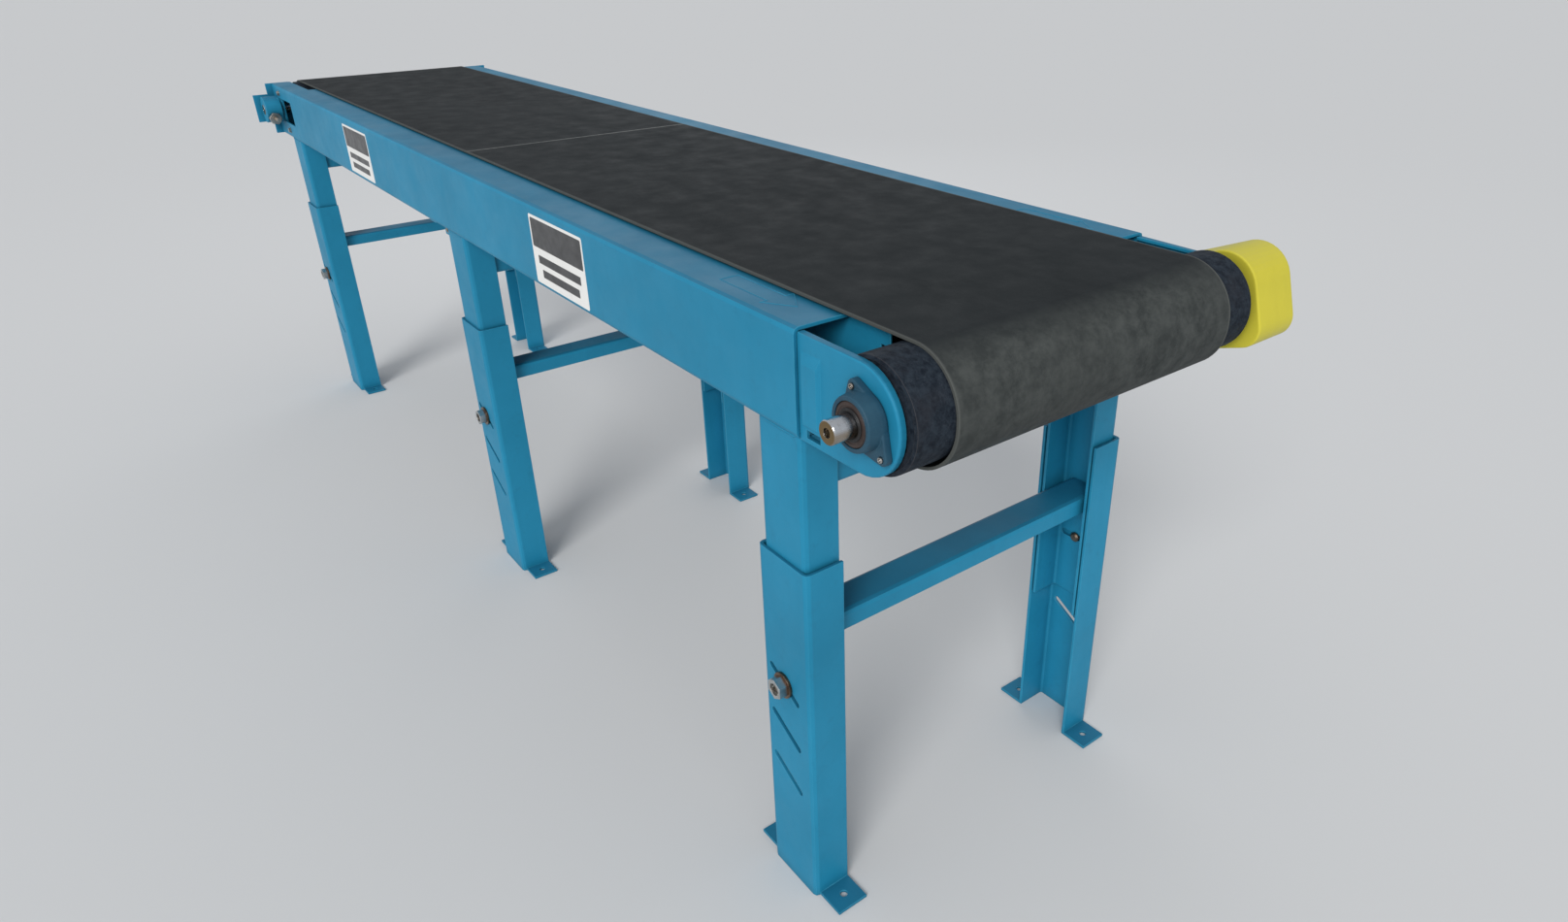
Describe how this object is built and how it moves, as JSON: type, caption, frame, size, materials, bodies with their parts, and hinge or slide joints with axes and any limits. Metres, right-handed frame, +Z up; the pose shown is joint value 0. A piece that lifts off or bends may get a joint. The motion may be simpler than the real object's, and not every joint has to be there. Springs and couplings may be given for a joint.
{
  "type": "belt conveyor section",
  "caption": "Flat-belt conveyor section: slider bed between side channels, lagged head pulley, tail take-up, shaft guard and height-adjustable leg frames.",
  "frame": {"origin": "on the floor, under the middle of the whole object's bounding box", "axes": "+X runs along the belt towards the head pulley, +Y points to the far side with the shaft guard, +Z up"},
  "size_m": [3.143, 0.836, 1.0068],
  "materials": {
    "blue_paint": "satin blue paint on folded sheet steel",
    "dark_blue_paint": "duller dark blue paint on cast iron",
    "yellow_paint": "satin safety-yellow paint",
    "belt_rubber": "dark grey rough belt cover",
    "pulley_lagging": "steel drum with a blue-black lagging",
    "bright_steel": "ground bright shafting",
    "plated_steel": "zinc-plated bolts, nuts and screws",
    "bearing_steel": "brown-black seal and insert",
    "galvanised_sheet": "galvanised tube"
  },
  "bodies": {
    "frame": {"side_channel_near": "blue_paint", "side_channel_far": "blue_paint", "slider_bed": "blue_paint", "bed_cross_tie_head": "blue_paint", "bed_cross_tie_middle": "blue_paint", "bed_cross_tie_tail": "blue_paint", "belt": "belt_rubber", "leg_top_tie_head": "blue_paint", "leg_top_tie_middle": "blue_paint", "leg_top_tie_tail": "blue_paint", "leg_brace_head": "blue_paint", "leg_brace_middle": "blue_paint", "leg_brace_tail": "blue_paint", "upper_leg_head_near": "blue_paint", "upper_leg_head_far": "blue_paint", "upper_leg_middle_near": "blue_paint", "upper_leg_middle_far": "blue_paint", "upper_leg_tail_near": "blue_paint", "upper_leg_tail_far": "blue_paint", "head_end_plate_near": "blue_paint", "head_end_plate_far": "blue_paint", "head_bearing_housing_near": "dark_blue_paint", "head_bearing_housing_far": "dark_blue_paint", "head_bearing_insert_near": "bearing_steel", "head_bearing_insert_far": "bearing_steel", "shaft_guard": "yellow_paint", "tail_side_frame_near": "blue_paint", "tail_side_frame_far": "blue_paint", "take_up_bracket_near": "blue_paint", "take_up_bracket_far": "blue_paint", "return_roller_shaft": "bright_steel", "return_roller_bracket_near": "blue_paint", "return_roller_bracket_far": "blue_paint"},
    "head_pulley": {"head_pulley": "pulley_lagging", "head_shaft": "bright_steel"},
    "tail_carriage": {"tail_bearing_block_near": "blue_paint", "tail_bearing_block_far": "blue_paint"},
    "tail_pulley": {"tail_pulley": "pulley_lagging", "tail_shaft": "bright_steel"},
    "take_up_screw_near": {"take_up_screw_near": "plated_steel"},
    "take_up_screw_far": {"take_up_screw_far": "plated_steel"},
    "return_roller": {"return_roller": "galvanised_sheet"},
    "leg_head_near": {"lower_leg_head_near": "blue_paint"},
    "leg_head_far": {"lower_leg_head_far": "blue_paint"},
    "leg_middle_near": {"lower_leg_middle_near": "blue_paint"},
    "leg_middle_far": {"lower_leg_middle_far": "blue_paint"},
    "leg_tail_near": {"lower_leg_tail_near": "blue_paint"},
    "leg_tail_far": {"lower_leg_tail_far": "blue_paint"},
    "clamp_head_near": {"height_bolt_head_near": "plated_steel", "height_nut_head_near": "plated_steel"},
    "clamp_head_far": {"height_bolt_head_far": "plated_steel", "height_nut_head_far": "plated_steel"},
    "clamp_middle_near": {"height_bolt_middle_near": "plated_steel", "height_nut_middle_near": "plated_steel"},
    "clamp_middle_far": {"height_bolt_middle_far": "plated_steel", "height_nut_middle_far": "plated_steel"},
    "clamp_tail_near": {"height_bolt_tail_near": "plated_steel", "height_nut_tail_near": "plated_steel"},
    "clamp_tail_far": {"height_bolt_tail_far": "plated_steel", "height_nut_tail_far": "plated_steel"}
  },
  "joints": [
    {"name": "head_pulley_spin", "type": "hinge", "parent": "frame", "child": "head_pulley", "pos_m": [1.48877, -0.018, 0.928], "axis": [0, 1, 0], "continuous": true},
    {"name": "tail_take_up", "type": "slide", "parent": "frame", "child": "tail_carriage", "axis": [1, 0, 0], "range_m": [0, 0.05]},
    {"name": "tail_pulley_spin", "type": "hinge", "parent": "tail_carriage", "child": "tail_pulley", "pos_m": [-1.49273, -0.018, 0.928], "axis": [0, 1, 0], "continuous": true},
    {"name": "return_roller_spin", "type": "hinge", "parent": "frame", "child": "return_roller", "pos_m": [-0.07973, -0.018, 0.8217], "axis": [0, 1, 0], "continuous": true},
    {"name": "take_up_screw_near_turn", "type": "hinge", "parent": "frame", "child": "take_up_screw_near", "pos_m": [-1.53273, -0.384, 0.905], "axis": [1, 0, 0], "range_deg": [0, 10300]},
    {"name": "take_up_screw_far_turn", "type": "hinge", "parent": "frame", "child": "take_up_screw_far", "pos_m": [-1.53273, 0.348, 0.905], "axis": [1, 0, 0], "range_deg": [0, 10300]},
    {"name": "leg_head_near_height", "type": "slide", "parent": "frame", "child": "leg_head_near", "axis": [0, 0, 1], "range_m": [-0.015, 0.015]},
    {"name": "leg_head_far_height", "type": "slide", "parent": "frame", "child": "leg_head_far", "axis": [0, 0, 1], "range_m": [-0.015, 0.015]},
    {"name": "leg_middle_near_height", "type": "slide", "parent": "frame", "child": "leg_middle_near", "axis": [0, 0, 1], "range_m": [-0.015, 0.015]},
    {"name": "leg_middle_far_height", "type": "slide", "parent": "frame", "child": "leg_middle_far", "axis": [0, 0, 1], "range_m": [-0.015, 0.015]},
    {"name": "leg_tail_near_height", "type": "slide", "parent": "frame", "child": "leg_tail_near", "axis": [0, 0, 1], "range_m": [-0.015, 0.015]},
    {"name": "leg_tail_far_height", "type": "slide", "parent": "frame", "child": "leg_tail_far", "axis": [0, 0, 1], "range_m": [-0.015, 0.015]},
    {"name": "clamp_head_near_shift", "type": "slide", "parent": "frame", "child": "clamp_head_near", "axis": [1, 0, 0], "range_m": [-0.0262, 0.0262]},
    {"name": "clamp_head_far_shift", "type": "slide", "parent": "frame", "child": "clamp_head_far", "axis": [1, 0, 0], "range_m": [-0.0262, 0.0262]},
    {"name": "clamp_middle_near_shift", "type": "slide", "parent": "frame", "child": "clamp_middle_near", "axis": [1, 0, 0], "range_m": [-0.0262, 0.0262]},
    {"name": "clamp_middle_far_shift", "type": "slide", "parent": "frame", "child": "clamp_middle_far", "axis": [1, 0, 0], "range_m": [-0.0262, 0.0262]},
    {"name": "clamp_tail_near_shift", "type": "slide", "parent": "frame", "child": "clamp_tail_near", "axis": [1, 0, 0], "range_m": [-0.0262, 0.0262]},
    {"name": "clamp_tail_far_shift", "type": "slide", "parent": "frame", "child": "clamp_tail_far", "axis": [1, 0, 0], "range_m": [-0.0262, 0.0262]}
  ],
  "couplings": [
    {"joint": "tail_pulley_spin", "follows": "head_pulley_spin", "ratio": 1},
    {"joint": "return_roller_spin", "follows": "head_pulley_spin", "ratio": -3.6571},
    {"joint": "take_up_screw_near_turn", "follows": "tail_take_up", "rad_per_m": 3590.4},
    {"joint": "take_up_screw_far_turn", "follows": "tail_take_up", "rad_per_m": 3590.4},
    {"joint": "clamp_head_near_shift", "follows": "leg_head_near_height", "ratio": 1.7321},
    {"joint": "clamp_head_far_shift", "follows": "leg_head_far_height", "ratio": 1.7321},
    {"joint": "clamp_middle_near_shift", "follows": "leg_middle_near_height", "ratio": 1.7321},
    {"joint": "clamp_middle_far_shift", "follows": "leg_middle_far_height", "ratio": 1.7321},
    {"joint": "clamp_tail_near_shift", "follows": "leg_tail_near_height", "ratio": 1.7321},
    {"joint": "clamp_tail_far_shift", "follows": "leg_tail_far_height", "ratio": 1.7321}
  ]
}
